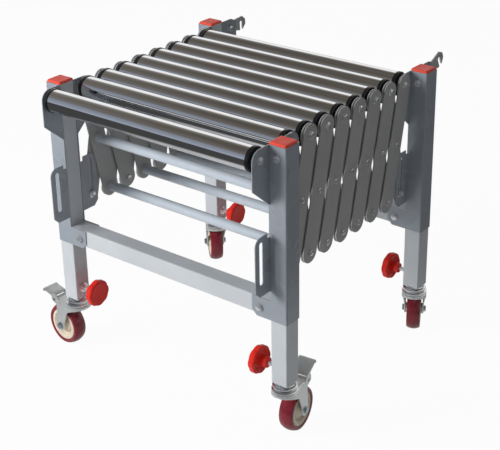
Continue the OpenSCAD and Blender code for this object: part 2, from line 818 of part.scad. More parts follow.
// Link hooks on the rear ears, drawn from the pivot along X and stood along the ear
module hook(s) {
    tilt = hook_tilts[s > 0 ? 1 : 0];
    color([0.42, 0.42, 0.43]) to_side(s) translate([outer_x, link_y, pivot_z]) rotate([tilt, 0, 0])
        rotate([90, 0, 90]) difference() {
            union() {
                cylinder(r = hook_half, h = hook_t);
                linear_extrude(hook_t) polygon([
                    [0, hook_half],
                    [hook_reach - 0.7 * hook_half, hook_half],
                    [hook_reach, hook_half / 3],
                    [hook_reach, -hook_half / 2],
                    [hook_reach - 0.7 * hook_half, -1.2 * hook_half],
                    [catch_out - catch_w, -1.2 * hook_half],
                    [catch_out - 1.5 * catch_w, -hook_half],
                    [0, -hook_half]
                ]);
            }
            translate([0, 0, -over]) linear_extrude(hook_t + 2 * over) {
                circle(d = axle_d + 2 * run_fit);
                translate([catch_out, 0]) circle(d = catch_w);
                translate([catch_out - catch_w / 2, -2 * hook_half]) square([catch_w, 2 * hook_half]);
            }
        }
}

for (i = [0 : 3]) {
    post(i);
    leg(i);
    knob(i);
    fork(i);
    wheel(i);
    tread(i);
}
leg_sleeves(-1);  // front_leg_sleeves
leg_sleeves(1);  // rear_leg_sleeves
crossbar(-1);  // front_crossbar
crossbar(1);  // rear_crossbar
end_caps(-1);  // front_end_caps
end_caps(1);  // rear_end_caps
front_fasteners();
rear_fasteners();
for (k = [1 : roller_count]) {
    roller(k);
}
for (k = [1 : stages]) {
    inner_arms(k);
    outer_arms(k);
}
pedal(0);  // front_left_pedal
pedal(1);  // front_right_pedal
hook(-1);  // left_hook
hook(1);  // right_hook
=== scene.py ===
"""Expanding roller table, dressed for a plain studio picture.

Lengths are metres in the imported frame: the origin is on the floor midway between the
four posts, X runs along the rollers, Y from the front frame to the rear one.
"""

import math

import bmesh
import bpy
import numpy as np
from mathutils import Matrix, Vector


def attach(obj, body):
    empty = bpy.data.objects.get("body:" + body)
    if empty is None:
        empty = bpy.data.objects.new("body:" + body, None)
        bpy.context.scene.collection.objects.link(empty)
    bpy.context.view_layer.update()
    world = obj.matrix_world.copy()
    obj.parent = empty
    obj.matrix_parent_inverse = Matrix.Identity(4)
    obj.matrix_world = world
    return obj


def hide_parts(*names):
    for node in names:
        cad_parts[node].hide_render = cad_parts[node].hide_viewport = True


bl_info = {
    "name": "Roller table",
    "version": (1, 0, 0),
    "blender": (4, 5, 0),
    "location": "View3D > Sidebar > Roller table",
    "description": "Dresses an expanding roller table with its finishes, bolts, wheels and knobs",
    "category": "Object",
}

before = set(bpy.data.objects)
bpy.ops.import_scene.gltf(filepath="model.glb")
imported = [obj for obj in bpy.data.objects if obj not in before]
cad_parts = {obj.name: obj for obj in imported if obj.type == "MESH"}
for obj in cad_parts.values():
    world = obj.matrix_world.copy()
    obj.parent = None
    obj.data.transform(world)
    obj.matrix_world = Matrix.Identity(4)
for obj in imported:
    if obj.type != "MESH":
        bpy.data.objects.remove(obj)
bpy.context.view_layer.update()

MM = 0.001
QUARTER = math.pi / 2
SIDES = (-1, 1)
SQUARE = np.array([(-1, -1), (1, -1), (1, 1), (-1, 1)])
ENDS = {"front": -1, "rear": 1}
CORNERS = ("front_left", "front_right", "rear_left", "rear_right")
STAGES = 7
ROLLERS = STAGES + 2

# Shared sizes of the frame, in metres
PITCH = 58 * MM
ARM_LEN = 264 * MM
EAR_R = 23.5 * MM
EAR_REACH = 50 * MM
TOP_Z = 666 * MM
PIVOT_Z = TOP_Z - EAR_R
KNOB_Z = 168 * MM
FIRST_Y = -STAGES * PITCH / 2
POST_Y = -FIRST_Y + EAR_REACH
LINK_Y = POST_Y + EAR_REACH
ARM_DROP = math.sqrt(ARM_LEN**2 - PITCH**2)
LOW_Z = PIVOT_Z - ARM_DROP
MID_Z = PIVOT_Z - ARM_DROP / 2
LEG_X = 298 * MM
PLAY = 0.2 * MM
EAR_T = 2 * MM
BAR_T = 3 * MM
EAR_X = 278 * MM
EAR_OUT_X = EAR_X + EAR_T
INNER_OUT_X = EAR_X - PLAY
INNER_X = INNER_OUT_X - BAR_T
OUTER_X = EAR_OUT_X + PLAY
OUTER_OUT_X = OUTER_X + BAR_T

# Fasteners, in metres
EASE = 0.3 * MM
ROD_R = 4 * MM
SHANK_D = 7.9 * MM
WASHER_D = 17 * MM
WASHER_T = 2 * MM
SPACER_T = 2.2 * MM
HEAD = 13 * MM
SMALL_HEAD = 11 * MM
SMALL_HEAD_T = 4.5 * MM


def new_object(name, data):
    """An object with this data, in the scene."""
    made = bpy.data.objects.new(name, data)
    bpy.context.scene.collection.objects.link(made)
    return made


# Surfaces


class Mesh:
    """Vertices and faces gathered from several surfaces, for one object."""

    def __init__(self):
        self.points = []
        self.faces = []
        self.count = 0

    def add(self, points, faces):
        self.points.append(np.asarray(points, float))
        self.faces += [[i + self.count for i in face] for face in faces]
        self.count += len(points)

    def build(self, name, finish, body, slot, node=None, sharp=35):
        """Makes the object, merges its seams and poles, and lets it ride on its body. It
        replaces the CAD node, which has the body's name where none is given."""
        mesh = bpy.data.meshes.new(name)
        mesh.from_pydata(np.concatenate(self.points).tolist(), [], self.faces)
        work = bmesh.new()
        work.from_mesh(mesh)
        bmesh.ops.remove_doubles(work, verts=work.verts, dist=1e-6)
        bmesh.ops.recalc_face_normals(work, faces=work.faces)
        work.to_mesh(mesh)
        work.free()
        mesh.shade_smooth()
        mesh.set_sharp_from_angle(angle=math.radians(sharp))
        mesh.materials.append(FINISH[finish])
        piece = new_object(name, mesh)
        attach(piece, body)
        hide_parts(node or body)


def grid_faces(rows, cols, loop_rows=False, loop_cols=True):
    """Quads between neighbouring points of a rows by cols grid, closed where asked."""
    r = np.arange(rows if loop_rows else rows - 1)
    c = np.arange(cols if loop_cols else cols - 1)
    r, c = (a.ravel() for a in np.meshgrid(r, c, indexing="ij"))
    r1, c1 = (r + 1) % rows, (c + 1) % cols
    return np.stack([r * cols + c, r1 * cols + c, r1 * cols + c1, r * cols + c1], 1).tolist()


def basis(direction):
    """Three unit rows: two across the direction, and the direction itself."""
    d = np.asarray(direction, float)
    d = d / np.linalg.norm(d)
    side = np.cross(d, [0, 0, 1] if abs(d[2]) < 0.9 else [1, 0, 0])
    side /= np.linalg.norm(side)
    return np.stack([side, np.cross(d, side), d])


def turned(profile, start, direction, steps=48, radii=None):
    """A surface of revolution: each (radius, height) of the profile becomes a circle of
    that radius round the axis, at that height above start. Radii, with a row for each
    point of the profile and a column for each step, give the circles another outline."""
    profile = np.asarray(profile, float)
    radii = profile[:, :1] if radii is None else radii
    angle = np.linspace(0, 2 * np.pi, steps, endpoint=False)
    ring = np.stack([np.cos(angle), np.sin(angle)], 1)
    flat = radii[..., None] * ring[None]
    high = np.broadcast_to(profile[:, None, 1, None], (len(profile), steps, 1))
    points = np.concatenate([flat, high], 2) @ basis(direction) + np.asarray(start, float)
    return points.reshape(-1, 3), grid_faces(len(profile), steps)


def arc(centre, radius, start, end, steps):
    """Points along an arc about the centre; two radii make it an ellipse's."""
    across, up = np.broadcast_to(radius, 2)
    angle = np.linspace(start, end, steps)
    return np.stack([centre[0] + across * np.cos(angle), centre[1] + up * np.sin(angle)], 1)


def rounded(points, radii, steps=8):
    """The polygon's outline with an arc of the given radius in each corner. The arc
    touches both sides at radius / tan(half the corner's angle) from the corner."""
    points = np.asarray(points, float)
    radii = np.broadcast_to(np.asarray(radii, float), len(points))
    out = []
    for i, (corner, radius) in enumerate(zip(points, radii)):
        a = points[i - 1] - corner
        b = points[(i + 1) % len(points)] - corner
        a, b = a / np.linalg.norm(a), b / np.linalg.norm(b)
        half = math.acos(np.clip(a @ b, -1, 1)) / 2
        if radius <= 0 or half > 0.499 * math.pi:
            out.append(corner[None])
            continue
        middle = corner + (a + b) / np.linalg.norm(a + b) * radius / math.sin(half)
        start = corner + a * radius / math.tan(half) - middle
        end = corner + b * radius / math.tan(half) - middle
        turn = math.atan2(start[0] * end[1] - start[1] * end[0], start @ end)
        t = np.linspace(0, turn, steps)
        out.append(np.stack([start[0] * np.cos(t) - start[1] * np.sin(t),
                             start[0] * np.sin(t) + start[1] * np.cos(t)], 1) + middle)
    return np.concatenate(out)


def inset(outline, distance):
    """The outline moved inward: each point along the mean of its two sides' normals."""
    before = outline - np.roll(outline, 1, 0)
    after = np.roll(outline, -1, 0) - outline
    normals = []
    for side in (before, after):
        length = np.linalg.norm(side, axis=1, keepdims=True)
        normals.append(np.stack([-side[:, 1], side[:, 0]], 1) / np.maximum(length, 1e-12))
    total = normals[0] + normals[1]
    scale = 1 + (normals[0] * normals[1]).sum(1, keepdims=True)
    area = np.sum(outline[:, 0] * np.roll(outline[:, 1], -1) - outline[:, 1] * np.roll(outline[:, 0], -1))
    return outline + np.sign(area) * distance * total / np.maximum(scale, 0.4)


def lofted(rings):
    """A closed surface through rings of equally many points, with flat ends."""
    count = len(rings[0])
    faces = grid_faces(len(rings), count)
    faces += [list(range(count))[::-1], [i + (len(rings) - 1) * count for i in range(count)]]
    return np.concatenate(rings), faces


def sheet_surface(outer, inner):
    """A sheet with its thickness: two grids of points, joined along all four edges."""
    section = np.concatenate([outer, inner[:, ::-1]], 1)
    rows, cols = section.shape[:2]
    faces = grid_faces(rows, cols)
    for row, flip in ((0, 1), (rows - 1, -1)):
        base = row * cols
        for j in range(cols // 2 - 1):
            faces.append([base + j, base + j + 1, base + cols - 2 - j, base + cols - 1 - j][::flip])
    return section.reshape(-1, 3), faces


def plate(outline, low, high, bevel=EASE):
    """A flat sheet with eased edges: the outline, in YZ, carried along X from low to high
    and drawn in by the bevel at both faces."""
    small = inset(outline, bevel)
    rings = [(small, low), (outline, low + bevel), (outline, high - bevel), (small, high)]
    return lofted([np.concatenate([np.full((len(ring), 1), x), ring], 1) for ring, x in rings])


def stadium(start, end, radius, steps=20):
    """The outline round two points at one distance: two half circles joined by lines."""
    start, end = np.asarray(start, float), np.asarray(end, float)
    along = math.atan2(*(end - start)[::-1])
    return np.concatenate([arc(end, radius, along - QUARTER, along + QUARTER, steps),
                           arc(start, radius, along + QUARTER, along + 3 * QUARTER, steps)])


def hex_head(start, direction, across, height, turn=0.0, steps=48):
    """A hexagon head: at each angle the radius is the flat's distance over the cosine of
    the angle from the flat's middle, and a 30 degree cone cuts the top corners."""
    angle = np.linspace(0, 2 * np.pi, steps, endpoint=False)
    off = (angle + np.pi / 6) % (np.pi / 3) - np.pi / 6
    radius = across / 2 / np.cos(off)
    none = np.zeros(steps)
    chamfer_share = 0.94
    top = none + across / 2 * chamfer_share
    cut = height - (radius - top) * math.tan(math.radians(30))
    rings = [(none, none), (radius, none), (radius, cut), (top, none + height), (none, none + height)]
    ring = np.stack([np.cos(angle + turn), np.sin(angle + turn)], 1)
    points = np.concatenate([np.concatenate([r[:, None] * ring, h[:, None]], 1) for r, h in rings])
    return points @ basis(direction) + np.asarray(start, float), grid_faces(len(rings), steps)


def disc_profile(radius, height, ease):
    """The section of a washer, cap or rod end: a rectangle with eased outer corners."""
    steps = 5
    low = arc((radius - ease, ease), ease, -QUARTER, 0, steps)
    high = arc((radius - ease, height - ease), ease, 0, QUARTER, steps)
    return np.concatenate([[[0, 0]], low, high, [[0, height]]])


def washer(mesh, start, direction, diameter, height):
    """A round plate on its seat, its edges eased by no more than a third of it."""
    ease = min(0.35 * MM, height / 3)
    mesh.add(*turned(disc_profile(diameter / 2, height, ease), start, direction, 40))


def side_washer(mesh, x, y, z, side, height=WASHER_T, diameter=WASHER_D):
    """A washer whose seat is at x on the given side, lying outward."""
    washer(mesh, (side * x, y, z), (side, 0, 0), diameter, height)


def side_bolt(mesh, x, y, z, side, across=SMALL_HEAD, height=SMALL_HEAD_T):
    """A hexagon head whose seat is at x on the given side, pointing outward. Each is
    turned by another angle."""
    mesh.add(*hex_head((side * x, y, z), (side, 0, 0), across, height, turn=0.2 + 9 * y))


def axle(y):
    """A roller's fixed axle, as long as the table's outer bars are apart."""
    return turned(disc_profile(ROD_R, 2 * OUTER_X, EASE), (-OUTER_X, y, PIVOT_Z), (1, 0, 0), 24)


# Finishes


def shader(name):
    """A new material with its nodes, its links and its one surface shader."""
    material = bpy.data.materials.new(name)
    material.use_nodes = True
    nodes, links = material.node_tree.nodes, material.node_tree.links
    return material, nodes, links, nodes["Principled BSDF"]


def object_noise(nodes, links, scale, detail=4.0, stretch=(1, 1, 1)):
    """A noise over the piece's own coordinates, drawn out along an axis by stretch."""
    place = nodes.new("ShaderNodeTexCoord")
    mapping = nodes.new("ShaderNodeMapping")
    mapping.inputs["Scale"].default_value = stretch
    noise = nodes.new("ShaderNodeTexNoise")
    noise.inputs["Scale"].default_value = scale
    noise.inputs["Detail"].default_value = detail
    links.new(place.outputs["Object"], mapping.inputs["Vector"])
    links.new(mapping.outputs["Vector"], noise.inputs["Vector"])
    return noise.outputs["Fac"]


def spread(nodes, links, source, low, high, start=0.35, end=0.65):
    """The noise between start and end mapped on to values from low to high."""
    ramp = nodes.new("ShaderNodeMapRange")
    for name, value in zip(("From Min", "From Max", "To Min", "To Max"), (start, end, low, high)):
        ramp.inputs[name].default_value = value
    links.new(source, ramp.inputs["Value"])
    return ramp.outputs["Result"]


def blend(nodes, links, factor, first, second):
    """A colour from the first to the second by the factor; each is a socket or a colour."""
    mix = nodes.new("ShaderNodeMix")
    mix.data_type = "RGBA"
    links.new(factor, mix.inputs["Factor"])
    for name, colour in (("A", first), ("B", second)):
        if isinstance(colour, bpy.types.NodeSocket):
            links.new(colour, mix.inputs[name])
        else:
            mix.inputs[name].default_value = (*colour, 1)
    return mix.outputs["Result"]


def relief(nodes, links, source, strength, distance, bevel=0.0):
    """A fine bump over the surface, with edges softened by bevel, as a normal."""
    bump = nodes.new("ShaderNodeBump")
    bump.inputs["Strength"].default_value = strength
    bump.inputs["Distance"].default_value = distance
    links.new(source, bump.inputs["Height"])
    if bevel:
        edge = nodes.new("ShaderNodeBevel")
        edge.inputs["Radius"].default_value = bevel
        links.new(edge.outputs["Normal"], bump.inputs["Normal"])
    return bump.outputs["Normal"]


def clouded(nodes, links, surface, noise, colour, vary, roughness, low, high):
    """Colour and roughness changing with a noise: the colour by vary either way, the
    roughness from low to high times itself."""
    dark = [c * (1 - vary) for c in colour]
    light = [min(1, c * (1 + vary)) for c in colour]
    tone = blend(nodes, links, spread(nodes, links, noise, 0, 1), dark, light)
    links.new(tone, surface.inputs["Base Color"])
    links.new(spread(nodes, links, noise, roughness * low, roughness * high), surface.inputs["Roughness"])


def painted(name, colour, roughness, coat, bevel=0.0, shine=0.5):
    """Sprayed enamel: a fine orange peel, slow changes of tone and a clear gloss."""
    material, nodes, links, surface = shader(name)
    slow = object_noise(nodes, links, 9, 3)
    clouded(nodes, links, surface, slow, colour, 0.03, roughness, 0.95, 1.06)
    peel = object_noise(nodes, links, 900, 2)
    links.new(relief(nodes, links, peel, 0.25, 0.02 * MM, bevel), surface.inputs["Normal"])
    surface.inputs["Specular IOR Level"].default_value = shine
    surface.inputs["Coat Weight"].default_value = coat
    surface.inputs["Coat Roughness"].default_value = 0.08
    return material


def plated(name, colour, roughness, stretch, scale, vary, metal=1.0, bump=0.12):
    """Plated steel: bare metal with a drawn or cloudy grain in its tone and gloss."""
    material, nodes, links, surface = shader(name)
    surface.inputs["Metallic"].default_value = metal
    grain = object_noise(nodes, links, scale, 5, stretch)
    clouded(nodes, links, surface, grain, colour, vary, roughness, 0.75, 1.3)
    links.new(relief(nodes, links, grain, bump, 0.05 * MM), surface.inputs["Normal"])
    return material


def moulded(name, colour, roughness, vary=0.05, shine=0.5):
    """Moulded plastic or rubber: a faint mottle and a fine matt texture."""
    material, nodes, links, surface = shader(name)
    surface.inputs["Specular IOR Level"].default_value = shine
    cloud = object_noise(nodes, links, 40, 3)
    clouded(nodes, links, surface, cloud, colour, vary, roughness, 0.85, 1.15)
    skin = object_noise(nodes, links, 700, 2)
    links.new(relief(nodes, links, skin, 0.3, 0.03 * MM), surface.inputs["Normal"])
    return material


FINISH = {}


def make_finishes(sizes):
    """The finishes of the table, by name. After a plated finish's roughness come the
    stretch of its grain along X, Y and Z, the grain's scale and how far its tone varies."""
    even, along_x, along_z = (1, 1, 1), (1, 14, 14), (12, 12, 1)
    FINISH["post"] = painted("post_enamel", sizes.post_colour[:3], 0.28, 0.5, bevel=0.6 * MM)
    FINISH["tube"] = painted("tube_enamel", sizes.tube_colour[:3], 0.32, 0.05, bevel=0.4 * MM, shine=0.2)
    FINISH["bar"] = painted("bar_enamel", sizes.bar_colour[:3], 0.34, 0.25)
    FINISH["cross"] = painted("cross_tube_enamel", (0.58, 0.64, 0.71), 0.26, 0.3)
    FINISH["chrome"] = plated("roller_chrome", (0.80, 0.81, 0.83), 0.07, along_x, 20, 0.04)
    FINISH["zinc"] = plated("zinc_plate", (0.80, 0.81, 0.82), 0.24, even, 90, 0.10, metal=0.7)
    FINISH["leg"] = plated("leg_zinc", (0.70, 0.72, 0.74), 0.30, along_z, 14, 0.04, metal=0.6, bump=0.02)
    FINISH["fork"] = plated("fork_zinc", (0.72, 0.75, 0.74), 0.46, even, 55, 0.06, metal=0.7, bump=0.06)
    FINISH["race"] = plated("race_zinc", (0.74, 0.75, 0.76), 0.20, (1, 1, 3), 40, 0.05, bump=0.02)
    FINISH["bolt"] = plated("bolt_zinc", (0.42, 0.47, 0.52), 0.32, even, 80, 0.10, bump=0.05)
    FINISH["black"] = moulded("cap_black", (0.012, 0.012, 0.013), 0.32)
    FINISH["red"] = moulded("red_moulding", sizes.red_colour[:3], 0.38, shine=0.3)
    FINISH["cap"] = moulded("cap_red", sizes.cap_colour[:3], 0.45, shine=0.3)
    FINISH["cream"] = moulded("hub_cream", (0.76, 0.68, 0.55), 0.38)
    FINISH["tread"] = moulded("tread_maroon", sizes.tread_colour[:3], 0.26, 0.12)


# Pieces


def keep_node(name, finish):
    """A CAD node keeps its mesh and takes a finish."""
    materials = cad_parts[name].data.materials
    materials.clear()
    materials.append(FINISH[finish])


def corner_signs(corner):
    """The corner's sides along X and Y, each -1 or 1."""
    return 1 if "right" in corner else -1, 1 if "rear" in corner else -1


def top_y(k):
    """Y of the upper pivot k of the scissor."""
    return FIRST_Y + k * PITCH


class RT_OT_bars(bpy.types.Operator):
    """Both sides' inner and outer bars, with their pivots and cross tubes"""

    bl_idname = "roller_table.bars"
    bl_label = "Crossed bars"

    low_spacer_t = 2.1 * MM
    seam = 0.05 * MM
    tube_r = 11 * MM

    def execute(self, context):
        self.width = context.scene.roller_table.bar_width
        for k in range(1, STAGES + 1):
            self.inner(k)
            self.outer(k)
        return {"FINISHED"}

    def bar(self, mesh, side, x, out_x, y, toward):
        """One bar: a stadium from its upper pivot at y down to its foot."""
        low, high = sorted((side * x, side * out_x))
        outline = stadium((y, PIVOT_Z), (y + toward * PITCH, LOW_Z), self.width / 2)
        mesh.add(*plate(outline, low, high))

    def cross_tube(self, y, z):
        """A round tube between the two sides' inner bars."""
        return turned(disc_profile(self.tube_r, 2 * INNER_X, EASE), (-INNER_X, y, z), (1, 0, 0), 40)

    def inner(self, k):
        """Inner bars k with the bolts at their feet. The last ones' feet ride in the ears'
        slots. A cross tube takes the place of the inner heads on pairs 1, 3 and 5, and
        pair 1 has one more at its crossing."""
        y, foot = top_y(k - 1), top_y(k)
        bars, metal, tubes = Mesh(), Mesh(), Mesh()
        tube = k % 2 == 1 and k < STAGES
        for side in SIDES:
            self.bar(bars, side, INNER_X, INNER_OUT_X, y, 1)
            head_x = EAR_OUT_X + PLAY + WASHER_T if k == STAGES else OUTER_OUT_X + PLAY
            side_washer(metal, INNER_OUT_X + self.seam, foot, LOW_Z, side, head_x - INNER_OUT_X, SHANK_D)
            side_bolt(metal, head_x, foot, LOW_Z, side)
            if k == STAGES:
                side_washer(metal, EAR_OUT_X + PLAY, foot, LOW_Z, side)
            else:
                side_washer(metal, INNER_OUT_X, foot, LOW_Z, side, self.low_spacer_t)
            if not tube:
                side_bolt(metal, INNER_X, foot, LOW_Z, side, height=-SMALL_HEAD_T)
        if tube:
            tubes.add(*self.cross_tube(foot, LOW_Z))
        if k == 1:
            tubes.add(*self.cross_tube((y + foot) / 2, MID_Z))
        body = f"inner_arms_{k}"
        bars.build(f"inner_bars_{k}", "bar", body, "bar_steel")
        metal.build(f"inner_bolts_{k}", "zinc", body, "zinc")
        if tubes.count:
            tubes.build(f"cross_tubes_{k}", "cross", body, "tube_steel")

    def outer(self, k):
        """Outer bars k with their middle pivots and their roller's axle. The first ones'
        feet ride in the ears' slots; the rear ears carry the last ones' axle."""
        y, foot = top_y(k), top_y(k - 1)
        middle = (y + foot) / 2
        slot_x = INNER_OUT_X - WASHER_T
        bars, metal = Mesh(), Mesh()
        for side in SIDES:
            self.bar(bars, side, OUTER_X, OUTER_OUT_X, y, -1)
            side_bolt(metal, OUTER_OUT_X, middle, MID_Z, side)
            side_washer(metal, EAR_X, middle, MID_Z, side, SPACER_T)
            if k > 1:
                side_bolt(metal, INNER_X - PLAY, middle, MID_Z, side, height=-SMALL_HEAD_T)
            else:
                side_bolt(metal, OUTER_OUT_X, foot, LOW_Z, side)
                side_washer(metal, slot_x, foot, LOW_Z, side)
                side_bolt(metal, slot_x, foot, LOW_Z, side, height=-SMALL_HEAD_T)
                side_washer(metal, slot_x + WASHER_T / 2, foot, LOW_Z, side, EAR_T + BAR_T, SHANK_D)
            if k < STAGES:
                side_washer(metal, EAR_X, y, PIVOT_Z, side, SPACER_T)
                side_washer(metal, OUTER_OUT_X, y, PIVOT_Z, side)
                side_bolt(metal, OUTER_OUT_X + WASHER_T, y, PIVOT_Z, side, HEAD, 3.5 * MM)
        if k < STAGES:
            metal.add(*axle(y))
        body = f"outer_arms_{k}"
        bars.build(f"outer_bars_{k}", "bar", body, "bar_steel")
        metal.build(f"outer_bolts_{k}", "zinc", body, "zinc")


class RT_OT_rollers(bpy.types.Operator):
    """Nine chromed tubes with their black end caps"""

    bl_idname = "roller_table.rollers"
    bl_label = "Rollers"

    half_length = 263 * MM
    tube_r = 25 * MM
    bore_r = 23 * MM

    def execute(self, context):
        for k in range(1, ROLLERS + 1):
            y = -LINK_Y if k == 1 else top_y(k - 2)
            body = f"roller_{k}"
            tube, caps = Mesh(), Mesh()
            tube.add(*turned(self.tube_profile(), (0, y, PIVOT_Z), (1, 0, 0), 96))
            for side in SIDES:
                caps.add(*turned(self.cap_profile(), (side * self.half_length, y, PIVOT_Z), (side, 0, 0), 64))
            tube.build(f"roller_tube_{k}", "chrome", body, "roller_chrome")
            caps.build(f"roller_caps_{k}", "black", body, "roller_chrome", sharp=50)
        return {"FINISHED"}

    def tube_profile(self):
        """The wall's section, closed: outside with eased ends, and the bore."""
        half, outer, bore, ease = self.half_length, self.tube_r, self.bore_r, 0.5 * MM
        return [(bore, -half), (outer - ease, -half), (outer, -half + ease), (outer, half - ease),
                (outer - ease, half), (bore, half), (bore, -half)]

    def cap_profile(self):
        """From the plug's inner face round the rim, over the race groove to the hub."""
        bore, plug_r, plug = 4.1, 22.9, 12
        radius, thick, round_r = 26.5, 7, 1.6
        groove_at, groove = 15, (2.6, -1.9)
        hub_r, hub_top = 10, 11.5
        start = [(bore, -plug), (plug_r, -plug), (plug_r, 0), (radius, 0)]
        rim = arc((radius - round_r, thick - round_r), round_r, 0, QUARTER, 6)
        race = arc((groove_at, thick), groove, 0, math.pi, 9)
        hub = [(hub_r, thick), (hub_r, hub_top - 0.3), (hub_r - 0.4, hub_top), (bore, hub_top), (bore, -plug)]
        return np.concatenate([start, rim, [(groove_at + 3.2, thick)], race, hub]) * MM


class RT_OT_frames(bpy.types.Operator):
    """Posts, sleeves and crossbars keep their meshes; caps and bolts are new"""

    bl_idname = "roller_table.frames"
    bl_label = "Post frames"

    post_bolts = ((LEG_X, TOP_Z - 25 * MM), (252 * MM, 309 * MM))
    inner_spacer_t = 3.1 * MM

    def execute(self, context):
        for corner in CORNERS:
            keep_node(f"{corner}_post", "post")
        for end, way in ENDS.items():
            keep_node(f"{end}_leg_sleeves", "tube")
            keep_node(f"{end}_crossbar", "tube")
            self.caps(end, way)
            self.bolts(end, way)
        return {"FINISHED"}

    def caps(self, end, way):
        """Square caps on the two sleeves: levels (drawn in, height, size) up to the top."""
        half, corner = 20 * MM, 3 * MM
        outline = rounded(SQUARE * half, corner)
        levels = [(0, 0, 1), (0, 2.6, 1), (0.5, 3.8, 1), (1.6, 4.7, 1), (2.6, 5.0, 1), (2.6, 5.0, 0.8)]
        rings = [np.insert(inset(outline, draw * MM) * size, 2, high * MM, 1) for draw, high, size in levels]
        points, faces = lofted(rings)
        mesh = Mesh()
        for side in SIDES:
            mesh.add(points + (side * LEG_X, way * POST_Y, TOP_Z), faces)
        mesh.build(f"{end}_caps", "cap", f"{end}_frame", "red_plastic", f"{end}_end_caps", sharp=60)

    def bolts(self, end, way):
        """The frame's bolts, the nuts welded on its sleeves, and its rollers' axles."""
        mesh = Mesh()
        for side in SIDES:
            for x, z in self.post_bolts:
                self.through_bolt(mesh, side * x, way * POST_Y, z)
            self.nut(mesh, side, way * POST_Y)
            if end == "front":
                self.axle_end(mesh, side, -LINK_Y, EAR_OUT_X)
                self.axle_end(mesh, side, FIRST_Y, EAR_OUT_X)
            else:
                self.axle_end(mesh, side, -FIRST_Y, OUTER_OUT_X + PLAY)
                self.axle_end(mesh, side, LINK_Y, OUTER_OUT_X + PLAY)
                self.hook_pivot(mesh, side)
        axles = (-LINK_Y, FIRST_Y) if end == "front" else (-FIRST_Y,)
        for y in axles:
            mesh.add(*axle(y))
        for side in SIDES:
            side_washer(mesh, INNER_X, axles[0], PIVOT_Z, side, self.inner_spacer_t)
        mesh.build(f"{end}_bolts", "zinc", f"{end}_frame", "zinc", f"{end}_fasteners")

    def through_bolt(self, mesh, x, y, z, washer_d=16 * MM, washer_t=1.4 * MM, head_t=4.1 * MM):
        """A bolt through a post, with a washer and a hexagon on both faces."""
        half = 22 * MM
        for face in SIDES:
            seat = y + face * half
            washer(mesh, (x, seat, z), (0, face, 0), washer_d, washer_t)
            mesh.add(*hex_head((x, seat + face * washer_t, z), (0, face, 0), HEAD, head_t, 0.3))
        mesh.add(*turned(disc_profile(ROD_R, 2 * half, 0.2 * MM), (x, y - half, z), (0, 1, 0), 24))

    def nut(self, mesh, side, y, collar_d=23 * MM, collar_t=4 * MM, nut=16 * MM, nut_t=2 * MM):
        """A clamp knob's collar and nut on the sleeve's inner face."""
        face_x = LEG_X - 20 * MM
        washer(mesh, (side * face_x, y, KNOB_Z), (-side, 0, 0), collar_d, collar_t)
        mesh.add(*hex_head((side * (face_x - collar_t), y, KNOB_Z), (-side, 0, 0), nut, nut_t, 0.1))

    def axle_end(self, mesh, side, y, x, washer_t=1.6 * MM, head_t=3.9 * MM):
        """A washer and a hexagon outside the ear or the outer bar."""
        side_washer(mesh, x, y, PIVOT_Z, side, washer_t)
        mesh.add(*hex_head((side * (x + washer_t), y, PIVOT_Z), (side, 0, 0), HEAD, head_t, 0.4 + 7 * y))

    def hook_pivot(self, mesh, side):
        """The link hook's bolt through the rear ear, its head on the inside."""
        start = (side * EAR_X, LINK_Y, PIVOT_Z)
        mesh.add(*hex_head(start, (-side, 0, 0), HEAD, 5.5 * MM, 0.2))
        mesh.add(*turned(disc_profile(ROD_R, 6 * MM, 0.2 * MM), start, (side, 0, 0), 24))


class RT_OT_knobs(bpy.types.Operator):
    """Four lobed clamp knobs with their studs, drawn in millimetres"""

    bl_idname = "roller_table.knobs"
    bl_label = "Clamp knobs"

    place_x = 232
    stem = 23.8
    stud_r = 5
    stud_end_x = 280.2
    rim_r = 31.0
    half = 8

    def execute(self, context):
        for corner in CORNERS:
            side, way = corner_signs(corner)
            y = way * POST_Y
            knob, stud = Mesh(), Mesh()
            knob.add(*self.surface(side, y))
            start_x = self.place_x + self.stem
            rod = disc_profile(self.stud_r * MM, (self.stud_end_x - start_x) * MM, EASE)
            stud.add(*turned(rod, (side * start_x * MM, y, KNOB_Z), (side, 0, 0), 24))
            body = f"{corner}_knob"
            knob.build(f"{corner}_knob_grip", "red", body, "red_plastic", sharp=70)
            stud.build(f"{corner}_knob_stud", "zinc", body, "zinc")
        return {"FINISHED"}

    def profile(self):
        """From the middle of the flat face round the rim, into the dished back, along the
        stem to its end."""
        rim, half, stem, ease, front = self.rim_r, self.half, self.stem, 3.6, 4.6
        face = [(0, -7.5), (22, -7.5), (24.5, -half)]
        low = arc((rim - front, front - half), front, -QUARTER, 0, 7)
        high = arc((rim - ease, half - ease), ease, 0, QUARTER, 7)
        dish = [(25.8, half), (24.6, 7.2), (22.4, 4.0), (20, 3.0), (14.6, 2.8), (12.6, 3.6), (12, 5.2)]
        neck = [(11.8, 14), (11.7, stem - 1.4), (11.2, stem), (0, stem)]
        return np.concatenate([face, low, high, dish, neck])

    def surface(self, side, y, lobes=8, deep=1.5, round_r=20, steps=128):
        """The profile turned about X, with its rim drawn in between the lobes: the radius
        loses a share of the square of (1 - cos(lobes * angle)) / 2, which grows from none
        at round_r to all of it at the rim."""
        profile = self.profile()
        angle = np.linspace(0, 2 * np.pi, steps, endpoint=False)
        dip = deep * ((1 - np.cos(lobes * angle)) / 2) ** 2
        share = np.clip((profile[:, 0] - round_r) / (self.rim_r - round_r), 0, 1)[:, None]
        points, faces = turned(profile, (0, 0, 0), (side, 0, 0), steps, profile[:, :1] - dip * share)
        return points * MM + (side * self.place_x * MM, y, KNOB_Z), faces


